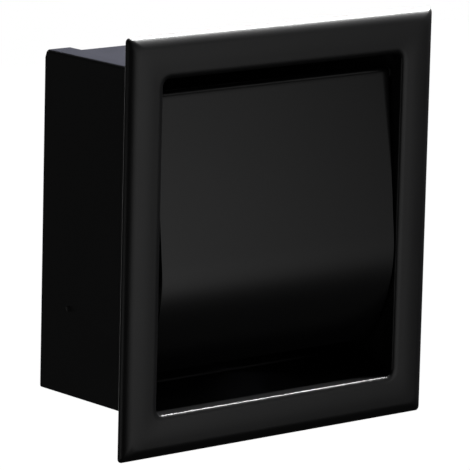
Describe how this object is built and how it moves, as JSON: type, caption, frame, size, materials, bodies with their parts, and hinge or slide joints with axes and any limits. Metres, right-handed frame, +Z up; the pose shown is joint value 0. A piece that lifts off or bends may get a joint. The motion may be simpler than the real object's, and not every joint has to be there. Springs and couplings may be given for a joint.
{
  "type": "recessed toilet paper holder",
  "caption": "Recessed black steel toilet paper holder: wall box, pressed frame, curved hinged cover and a telescopic roller inside.",
  "frame": {"origin": "middle of the box on the plane of the finished wall, where the frame's rim rests", "axes": "+Z up, the front faces -Y, +Y runs into the wall, +X to the right as seen from the front"},
  "size_m": [0.16, 0.074, 0.17],
  "materials": {
    "satin_black_lacquer": "satin black stove enamel on pressed steel",
    "black_powder_coat": "fine black powder coat on folded steel sheet",
    "stainless_steel": "ground stainless steel",
    "spring_steel": "drawn zinc-plated spring wire",
    "black_nylon": "moulded black nylon",
    "grey_rubber": "moulded soft rubber"
  },
  "bodies": {
    "housing": {"housing_wrap": "black_powder_coat", "back_tray": "black_powder_coat", "front_frame": "satin_black_lacquer", "side_rivet_left": "black_powder_coat", "side_rivet_right": "black_powder_coat", "hinge_rod": "stainless_steel", "hinge_bush_left": "black_nylon", "hinge_bush_right": "black_nylon", "rod_clip_left": "black_nylon", "rod_clip_right": "black_nylon", "flap_bumper_left": "grey_rubber", "flap_bumper_right": "grey_rubber", "roller_cup_left": "black_powder_coat", "roller_cup_right": "black_powder_coat"},
    "cover": {"cover_flap": "satin_black_lacquer"},
    "roller": {"roller_tube_outer": "stainless_steel", "roller_cap_left": "black_nylon", "roller_spring": "spring_steel"},
    "roller_plunger": {"roller_tube_inner": "stainless_steel", "roller_cap_right": "black_nylon"}
  },
  "joints": [
    {"name": "cover_hinge", "type": "hinge", "parent": "housing", "child": "cover", "pos_m": [0, 0.006, 0.059], "axis": [-1, 0, 0], "range_deg": [0, 110]},
    {"name": "roller_spin", "type": "hinge", "parent": "housing", "child": "roller", "pos_m": [0, 0.014, 0.01], "axis": [1, 0, 0], "continuous": true},
    {"name": "roller_compress", "type": "slide", "parent": "roller", "child": "roller_plunger", "axis": [-1, 0, 0], "range_m": [0, 0.012], "stiffness_N_per_m": 350, "springref_m": -0.01, "deforming": ["roller_spring"]}
  ]
}
